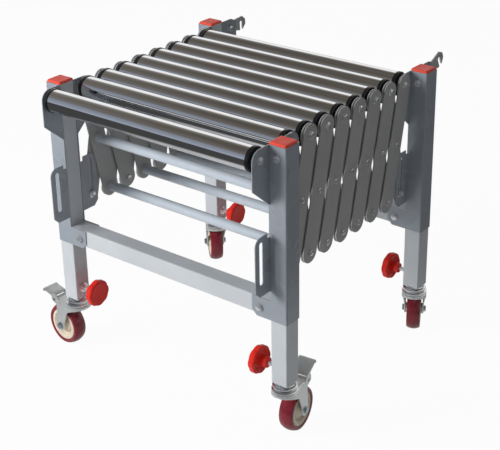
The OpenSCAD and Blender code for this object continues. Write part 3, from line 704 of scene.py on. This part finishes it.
class RT_OT_casters(bpy.types.Operator):
    """Four swivel casters: legs, races, forks, axles, hubs, treads and the two pedals.

    Each is drawn with its swivel at the origin and its axle toward +X, in millimetres,
    then turned about the swivel to where the caster stands.
    """

    bl_idname = "roller_table.casters"
    bl_label = "Casters"

    turns = {"front_left": 175, "front_right": 97, "rear_left": 137, "rear_right": 118}
    tilts = {"front_left": 6, "front_right": 30}
    trail = 46.0
    wheel_r = axle_z = 50.0
    outer, sheet = 22.5, 2.5
    crown_z, crown_r, crown_len = 120.0, 28.45, 52.0
    boss = 13.0
    pedal_x, pedal_z = 62.0, 114.0
    race_z, leg_z, leg_top = 130, 138, 628

    def execute(self, context):
        for corner in CORNERS:
            side, way = corner_signs(corner)
            self.turn = math.radians(self.turns[corner])
            self.spot = np.array([side * LEG_X, way * POST_Y, 0])
            self.leg(corner)
            self.fork(corner)
            self.wheel(corner)
            if corner in self.tilts:
                self.pedal(corner)
        return {"FINISHED"}

    def put(self, mesh, surface):
        """Adds a surface given in the caster's own millimetres, at its place."""
        points = np.asarray(surface[0], float) * MM
        c, s = math.cos(self.turn), math.sin(self.turn)
        points = points @ np.array([[c, s, 0], [-s, c, 0], [0, 0, 1]]) + self.spot
        mesh.add(points, surface[1])

    def upright(self, mesh, profile, steps):
        """Adds a profile turned about the swivel."""
        self.put(mesh, turned(profile, (0, 0, 0), (0, 0, 1), steps))

    def leg(self, corner):
        """The square leg, which stays square to the frame, the upper race and the kingpin."""
        tube, race = Mesh(), Mesh()
        half, wall, outer_r, inner_r = 17.5, 1.5, 2.5, 1.5
        outer = rounded(SQUARE * half, outer_r, 6)
        inner = rounded(SQUARE * (half - wall), inner_r, 6)
        ends = ((inner, self.leg_z), (outer, self.leg_z), (outer, self.leg_top), (inner, self.leg_top))
        rings = [np.insert(outline, 2, z, 1) for outline, z in ends]
        faces = grid_faces(len(rings), len(outer), loop_rows=True)
        tube.add(np.concatenate(rings) * MM + self.spot, faces)
        rim = arc((23.6, 133.1), 2.9, -0.8 * QUARTER, 0.9 * QUARTER, 9)
        self.upright(race, [(0, self.race_z), (24.3, self.race_z), *rim, (23.2, 136.4), (21.2, 136.9),
                            (20.5, self.leg_z), (0, self.leg_z)], 72)
        self.upright(race, [(0, 111.7), (11.4, 111.7), (12, 112.3), (12, 115.7), (6, 115.7),
                            (6, self.race_z), (0, self.race_z)], 48)
        body = f"{corner}_leg"
        tube.build(f"{corner}_leg_tube", "leg", body, "zinc")
        race.build(f"{corner}_upper_race", "race", body, "zinc")

    def fork(self, corner):
        """The stamped fork is one sheet bent over the crown: at each station x its section
        is a U upside down, as wide as the round crown in front and drawn in to the legs
        behind, and its lower edge z(x) falls along the leg to the round end."""
        sheet, race, bolt = Mesh(), Mesh(), Mesh()
        end = np.linspace(0.02, math.pi * 0.62, 18)
        x = np.concatenate([np.linspace(-28.4, -24, 8), np.linspace(-23, 33, 50),
                            self.trail - self.boss * np.cos(end), np.linspace(44, self.crown_len, 6)])
        x = np.unique(np.round(x[x <= self.crown_len], 3))
        self.put(sheet, self.bent_sheet(x, self.lower_edge(x)))
        back_edge = arc((self.trail, self.axle_z), self.boss, -1.15, 0, 12)
        strip = [*back_edge, (57.6, 72), (54.6, 108), (53.6, 112.5), (51.5, 115.5), (49, 115.5), (49, 40)]
        self.both_sides(sheet, np.array(strip), 0.04)
        if corner in self.tilts:
            tab = [(46, 102), (60, 105), (71.5, 111.5), (71.5, 121), (67.5, 129.5), (54, 128), (46, 117)]
            self.both_sides(sheet, rounded(tab, [1, 5, 5, 8, 4.5, 7, 1], 8), 0.08)
            self.pedal_pin(bolt)
        race_top = self.race_z - 0.3
        rim = arc((25.5, 123.6), 3, -0.85 * QUARTER, QUARTER, 10)
        self.upright(race, [(6.1, self.crown_z), (25.5, self.crown_z), *rim, (24.4, 126.8),
                            (23.9, race_top), (6.1, race_top), (6.1, self.crown_z)], 72)
        self.axle_bolt(bolt)
        body, node = f"{corner}_caster", f"{corner}_fork"
        sheet.build(f"{corner}_fork_sheet", "fork", body, "zinc", node, sharp=40)
        race.build(f"{corner}_lower_race", "race", body, "zinc", node)
        bolt.build(f"{corner}_axle_bolt", "bolt", body, "zinc", node)

    def both_sides(self, mesh, outline, thin):
        """A flat sheet in each leg of the fork, thinner than the leg by thin on each face."""
        for face in SIDES:
            low, high = sorted((face * (self.outer - thin), face * (self.outer - self.sheet + thin)))
            self.put(mesh, self.flat(outline, low, high))

    def pedal_pin(self, mesh, radius=2, head_r=3.4, head_t=1.6, sunk=0.1):
        """The pedal's pin with a round head on both sides."""
        for face in SIDES:
            seat = (self.pedal_x, face * (self.outer - sunk), self.pedal_z)
            self.put(mesh, turned(disc_profile(head_r, head_t, 0.7), seat, (0, face, 0), 24))
        start = (self.pedal_x, -self.outer, self.pedal_z)
        self.put(mesh, turned(disc_profile(radius, 2 * self.outer, 0.2), start, (0, 1, 0), 20))

    def axle_bolt(self, mesh, radius=4, past=5.2, washer_r=8.2, washer_t=1.2, head=13, head_t=4.2):
        """The wheel's bolt, which stands past the fork, with a washer and a nut on each side."""
        centre = np.array([self.trail, 0, self.axle_z])
        rod = disc_profile(radius, 2 * (self.outer + past), 0.6)
        self.put(mesh, turned(rod, centre - (0, self.outer + past, 0), (0, 1, 0), 24))
        for face in SIDES:
            seat = centre + (0, face * self.outer, 0)
            self.put(mesh, turned(disc_profile(washer_r, washer_t, 0.3), seat, (0, face, 0), 32))
            self.put(mesh, hex_head(seat + (0, face * washer_t, 0), (0, face, 0), head, head_t, 0.35))

    def lower_edge(self, x):
        """The fork's lower edge: a thin skirt in front that deepens toward the leg, the
        leg's sloping front edge, then the circle about the axle."""
        front = np.interp(x, [-29, -20, -8, 2, 8, 13, 17, 21, 25, 29, 31.5, 33],
                          [113.5, 112, 108.5, 104.5, 101.3, 97, 91.5, 84, 76, 68, 62, 56])
        end = self.axle_z - np.sqrt(np.maximum(self.boss**2 - (x - self.trail)**2, 0))
        return np.where(x <= self.trail - self.boss, front, end)

    def bent_sheet(self, x, low, bend=5.0, draw_from=3, draw_over=32):
        """Both faces of the bent sheet. Its half width is the crown circle's in front of
        the swivel, and behind it eases in to the legs'."""
        circle = np.sqrt(np.maximum(self.crown_r**2 - np.minimum(x, 0)**2, 1.0))
        ease = np.clip((x - draw_from) / draw_over, 0, 1)
        half = (circle + (self.outer - self.crown_r) * ease**2 * (3 - 2 * ease))[:, None]
        rings = []
        for inset_by, r in ((0.0, bend), (self.sheet, bend - self.sheet)):
            top = self.crown_z - inset_by
            t = np.linspace(0, QUARTER, 7)[None]
            down = np.linspace(0, 1, 9)[None, :-1]
            side_z = low[:, None] + (top - r - low[:, None]) * down
            w = np.maximum(half - inset_by, 0.6)
            left = np.concatenate([-w + 0 * side_z, -w + r - r * np.cos(t)], 1)
            high = np.concatenate([side_z, top - r + r * np.sin(t) + 0 * w], 1)
            y = np.concatenate([left, -left[:, ::-1]], 1)
            z = np.concatenate([high, high[:, ::-1]], 1)
            rings.append(np.stack([np.broadcast_to(x[:, None], y.shape), y, z], 2))
        return sheet_surface(*rings)

    def flat(self, outline, low, high):
        """A sheet in the fork's own XZ plane, between two heights along Y."""
        points, faces = plate(outline, low, high, 0.4)
        return points[:, [1, 0, 2]], faces

    def wheel(self, corner):
        """Hub and tread are surfaces of revolution about the axle: the hub has a boss, a
        sunk ring and a raised flange on each side, the tread a round crown."""
        hub, tread = Mesh(), Mesh()
        start = (self.trail, 0, self.axle_z)
        face = [(4.3, 19.5), (11.4, 19.5), (12.3, 18.7), (13.6, 14.6), (18.5, 12.4), (20.6, 11.4),
                (21.6, 9.4), (22.2, 7.4), (23.4, 6.6), (25.6, 6.6), (26.8, 7.4), (27.6, 12.6), (28.4, 13.6),
                (29.2, 13.3), (29.9, 12.9), (30.7, 13.4), (31.3, 14.9), (36.0, 15.2), (37.6, 14.2)]
        profile = face + [(r, -h) for r, h in face[::-1]] + face[:1]
        self.put(hub, turned(profile, start, (0, 1, 0), 96))
        edge = [(37.5, -13.8), (38.1, -15.1), (39.4, -15.9), (44.6, -15.8)]
        crown_r, high = 30, np.linspace(-15.3, 15.3, 27)
        crown = np.stack([self.wheel_r - crown_r + np.sqrt(crown_r**2 - high**2), high], 1)
        profile = [*edge, *crown, *[(r, -h) for r, h in edge[::-1]], edge[0]]
        self.put(tread, turned(profile, start, (0, 1, 0), 128))
        body = f"{corner}_wheel"
        hub.build(f"{corner}_hub", "cream", body, "hub_plastic", sharp=50)
        tread.build(f"{corner}_wheel_tread", "tread", body, "tread_rubber",
                    f"{corner}_tread", sharp=60)

    def pedal(self, corner):
        """The plate, the barrel it turns on, the shoe and two cheeks, tilted about the pin."""
        metal = Mesh()
        half, cheek_t, barrel, shoe = 17.4, 2.2, 17.2, 8.7
        section = [(2.1, -barrel), (5.2, -barrel), (5.2, barrel), (2.1, barrel), (2.1, -barrel)]
        cheek = rounded([(-4.8, 2), (-1, -5), (8, -1.5), (38, 2.6), (38, 7.6), (8, 8.4), (-3, 7.4)],
                        [2, 4, 5, 1, 1, 2, 3], 6)
        pieces = [self.pedal_plate(), turned(section, (0, 0, 0), (0, 1, 0), 40),
                  self.flat(self.shoe(), -shoe, shoe)]
        pieces += [self.flat(cheek, at, at + cheek_t) for at in (-half, half - cheek_t)]
        tilt = math.radians(self.tilts[corner])
        c, s = math.cos(tilt), math.sin(tilt)
        for points, faces in pieces:
            points = points @ np.array([[c, 0, s], [0, 1, 0], [-s, 0, c]])
            self.put(metal, (points + (self.pedal_x, 0, self.pedal_z), faces))
        body = f"{corner}_pedal"
        metal.build(f"{corner}_pedal_plate", "fork", body, "zinc", sharp=40)

    def pedal_plate(self, thick=2.0, lip_steps=18, lip_share=0.15):
        """A path carried across the width: it rises from the pivot, runs out flat and rolls
        down round the lip. Toward its sides the plate drops, by a share along the path."""
        rise = [(3.6, 6.4), (6, 8.2), (9.5, 9.3)]
        run = np.stack([np.linspace(13, 40.5, 10), np.full(10, 9.6)], 1)
        path = np.concatenate([rise, run, arc((42, 5.6), 4, QUARTER, -0.8 * math.pi, lip_steps)])
        tangent = np.gradient(path, axis=0)
        tangent /= np.linalg.norm(tangent, axis=1, keepdims=True)
        normal = np.stack([-tangent[:, 1], tangent[:, 0]], 1)
        half = np.interp(path[:, 0], [3.6, 9, 19, 40], [16.8, 17.4, 19.4, 19.5])[:, None]
        across = np.linspace(-1, 1, 25)
        drop = 0.9 * across**2 + 1.6 * np.clip((np.abs(across) - 0.84) / 0.16, 0, 1)**2
        share = np.interp(path[:, 0], [10, 15, 34, 39], [0.4, 1, 1, lip_share])
        share[-lip_steps:] = lip_share
        layers = []
        for lift in (0.0, -thick):
            base = path + normal * lift
            px, pz = (base[:, [i]] - normal[:, [i]] * drop * share[:, None] for i in (0, 1))
            layers.append(np.stack([px, half * across, pz], 2))
        return sheet_surface(*layers)

    def shoe(self, half=1.5, start=2, gap=0.4):
        """The shoe's strip from the barrel to just off the wheel, as the pressed pedal has it."""
        down, back = self.axle_z - self.pedal_z, self.trail - self.pedal_x
        way = math.atan2(down, back) - math.radians(6)
        reach = math.hypot(down, back) - self.wheel_r - gap
        strip = np.array([(start, -half), (reach, -half), (reach, half), (start, half)])
        c, s = math.cos(way), math.sin(way)
        return rounded(strip @ np.array([[c, s], [-s, c]]), 0.5, 4)


class RT_OT_hooks(bpy.types.Operator):
    """Two link hooks on the rear ears"""

    bl_idname = "roller_table.hooks"
    bl_label = "Link hooks"

    def execute(self, context):
        for side in ("left", "right"):
            keep_node(f"{side}_hook", "bar")
        return {"FINISHED"}


class RT_OT_studio(bpy.types.Operator):
    """Pale floor, soft lamps and the camera"""

    bl_idname = "roller_table.studio"
    bl_label = "Studio"

    def execute(self, context):
        studio = context.scene.roller_studio
        self.floor()
        self.world(studio)
        self.lamp("key_lamp", (-2.0, -2.9, 1.7), (0, 0, 0.35), (1.8, 1.8), studio.key)
        self.lamp("top_lamp", (0.2, 0.4, 3.0), (0, 0, 0.4), (2.6, 1.6), studio.top)
        self.lamp("fill_lamp", (2.8, 0.6, 1.2), (0, 0, 0.4), (1.5, 1.5), studio.fill)
        self.camera(context)
        return {"FINISHED"}

    def floor(self):
        """A pale floor; the camera sees it lifted nearly to white, with a trace of its shadow,
        and mirrors see it fall off away from the table."""
        mesh = bpy.data.meshes.new("studio_floor")
        half_size = 30
        mesh.from_pydata(np.insert(SQUARE * half_size, 2, 0, 1).tolist(), [], [(0, 1, 2, 3)])
        material, nodes, links, surface = shader("studio_white")
        surface.inputs["Base Color"].default_value = (0.9, 0.9, 0.9, 1)
        surface.inputs["Roughness"].default_value = 1.0
        surface.inputs["Specular IOR Level"].default_value = 0.0
        path = nodes.new("ShaderNodeLightPath")
        glow = nodes.new("ShaderNodeEmission")
        dim = nodes.new("ShaderNodeEmission")
        place = nodes.new("ShaderNodeTexCoord")
        far = nodes.new("ShaderNodeVectorMath")
        far.operation = "LENGTH"
        links.new(place.outputs["Object"], far.inputs[0])
        links.new(spread(nodes, links, far.outputs["Value"], 0.6, 0.06, 0.5, 0.85), dim.inputs["Strength"])
        lifted = spread(nodes, links, path.outputs["Is Camera Ray"], 0, 0.96, 0, 1)
        seen = self.mixed(nodes, links, lifted, surface.outputs[0], glow.outputs[0])
        mirrored = self.mixed(nodes, links, path.outputs["Is Glossy Ray"], seen, dim.outputs[0])
        links.new(mirrored, nodes["Material Output"].inputs["Surface"])
        mesh.materials.append(material)
        floor = new_object("studio_floor", mesh)

    def mixed(self, nodes, links, factor, first, second):
        """The first shader turning into the second by the factor."""
        mix = nodes.new("ShaderNodeMixShader")
        for place, socket in enumerate((factor, first, second)):
            links.new(socket, mix.inputs[place])
        return mix.outputs[0]

    def world(self, studio):
        """White to the camera; to mirrors a pale wall behind the table, a dim one in front
        of it and a dark ceiling."""
        world = bpy.data.worlds.new("studio_light")
        world.use_nodes = True
        bpy.context.scene.world = world
        nodes, links = world.node_tree.nodes, world.node_tree.links
        path = nodes.new("ShaderNodeLightPath")
        way = nodes.new("ShaderNodeTexCoord")
        split = nodes.new("ShaderNodeSeparateXYZ")
        links.new(way.outputs["Generated"], split.inputs[0])
        dark, ceiling = (0.10, 0.088, 0.075), (0.20, 0.19, 0.18)
        rear = ((0.0, (1, 1, 1)), (0.52, (1, 0.99, 0.98)), (0.68, (0.22, 0.20, 0.175)), (0.82, dark),
                (1.0, ceiling))
        front = ((0.0, (0.36, 0.39, 0.47)), (0.42, (0.26, 0.29, 0.35)), (0.60, (0.16, 0.145, 0.13)),
                 (0.80, dark), (1.0, ceiling))
        rear, front = (self.sky(nodes, links, split, levels) for levels in (rear, front))
        room = blend(nodes, links, spread(nodes, links, split.outputs["Y"], 0, 1, -0.45, 0.25), front, rear)
        lit = blend(nodes, links, path.outputs["Is Glossy Ray"], [studio.ambient] * 3, room)
        seen = blend(nodes, links, path.outputs["Is Camera Ray"], lit, (1, 1, 1))
        links.new(seen, nodes["Background"].inputs["Color"])

    def sky(self, nodes, links, split, levels):
        """The room's colour by height: the levels are (sine of the elevation, colour)."""
        ramp = nodes.new("ShaderNodeValToRGB")
        stops = ramp.color_ramp
        stops.interpolation = "EASE"
        while len(stops.elements) < len(levels):
            stops.elements.new(0.5)
        for stop, (place, colour) in zip(stops.elements, levels):
            stop.position = place
            stop.color = (*colour, 1)
        links.new(split.outputs["Z"], ramp.inputs["Fac"])
        return ramp.outputs["Color"]

    def lamp(self, name, place, aim, size, power):
        """A soft lamp at its place, turned to its aim, that no mirror shows."""
        data = bpy.data.lights.new(name, "AREA")
        data.shape = "RECTANGLE"
        data.size, data.size_y = size
        data.energy = power
        lamp = new_object(name, data)
        lamp.location = place
        lamp.rotation_euler = (Vector(aim) - Vector(place)).to_track_quat("-Z", "Y").to_euler()
        lamp.visible_glossy = False

    def camera(self, context):
        """The photograph's camera: it looks along the heading and the dip, turned by the roll."""
        heading, dip, roll = (math.radians(angle) for angle in (-39.13, 24.06, -1.32))
        place = (1.5830, -1.9786, 1.5625)
        sensor, focal_px, width_px = 36, 1246.5, 500
        look = Vector((math.sin(heading) * math.cos(dip), math.cos(heading) * math.cos(dip), -math.sin(dip)))
        level = look.cross(Vector((0, 0, 1))).normalized()
        above = level.cross(look)
        right = level * math.cos(roll) + above * math.sin(roll)
        up = above * math.cos(roll) - level * math.sin(roll)
        data = bpy.data.cameras.new("photo_camera")
        data.sensor_width = sensor
        data.lens = focal_px / width_px * sensor
        data.shift_x, data.shift_y = 0.03, -0.10
        camera = new_object("photo_camera", data)
        turn = Matrix((right, up, -look)).transposed().to_4x4()
        camera.matrix_world = Matrix.Translation(place) @ turn
        context.scene.camera = camera
        context.scene.view_settings.view_transform = "Standard"


def colour_property(name, description, colour):
    """A colour that the panel can show and change."""
    return bpy.props.FloatVectorProperty(
        name=name, description=description, size=4, subtype="COLOR", default=(*colour, 1))


class RollerTableSizes(bpy.types.PropertyGroup):
    """Sizes and colours of the table's pieces"""

    bar_width: bpy.props.FloatProperty(
        name="Bar width", description="Width of the flat bars", default=46 * MM, unit="LENGTH")
    post_colour: colour_property("Post colour", "Enamel of the folded posts", (0.32, 0.355, 0.40))
    tube_colour: colour_property("Tube colour", "Enamel of the sleeves and crossbars", (0.58, 0.61, 0.64))
    bar_colour: colour_property("Bar colour", "Enamel of the crossed bars and the hooks", (0.42, 0.425, 0.42))
    red_colour: colour_property("Knob colour", "Moulded clamp knobs", (0.82, 0.030, 0.018))
    cap_colour: colour_property("Cap colour", "Moulded tube caps", (0.93, 0.105, 0.070))
    tread_colour: colour_property("Tread colour", "Elastic tread of the wheels", (0.23, 0.014, 0.026))


class RollerStudio(bpy.types.PropertyGroup):
    """Light of the studio"""

    key: bpy.props.FloatProperty(
        name="Key lamp", description="Power of the front left lamp", default=125, unit="POWER")
    top: bpy.props.FloatProperty(
        name="Top lamp", description="Power of the overhead lamp", default=4, unit="POWER")
    fill: bpy.props.FloatProperty(
        name="Fill lamp", description="Power of the right lamp", default=1, unit="POWER")
    ambient: bpy.props.FloatProperty(
        name="Ambient", description="Light of the room itself", default=0.17)


STEPS = (RT_OT_frames, RT_OT_bars, RT_OT_rollers, RT_OT_knobs, RT_OT_casters, RT_OT_hooks, RT_OT_studio)


class RT_PT_panel(bpy.types.Panel):
    """The steps that dress the table"""

    bl_idname = "RT_PT_panel"
    bl_label = "Roller table"
    bl_space_type = "VIEW_3D"
    bl_region_type = "UI"
    bl_category = "Roller table"

    def draw(self, context):
        for step in STEPS:
            self.layout.operator(step.bl_idname)


CLASSES = (RollerTableSizes, RollerStudio, *STEPS, RT_PT_panel)


def register():
    for item in CLASSES:
        bpy.utils.register_class(item)
    bpy.types.Scene.roller_table = bpy.props.PointerProperty(type=RollerTableSizes)
    bpy.types.Scene.roller_studio = bpy.props.PointerProperty(type=RollerStudio)


def unregister():
    del bpy.types.Scene.roller_studio
    del bpy.types.Scene.roller_table
    for item in reversed(CLASSES):
        bpy.utils.unregister_class(item)


def main():
    """Registers the add-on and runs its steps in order."""
    register()
    make_finishes(bpy.context.scene.roller_table)
    for step in STEPS:
        group, name = step.bl_idname.split(".")
        getattr(getattr(bpy.ops, group), name)()


if __name__ == "__main__":
    main()
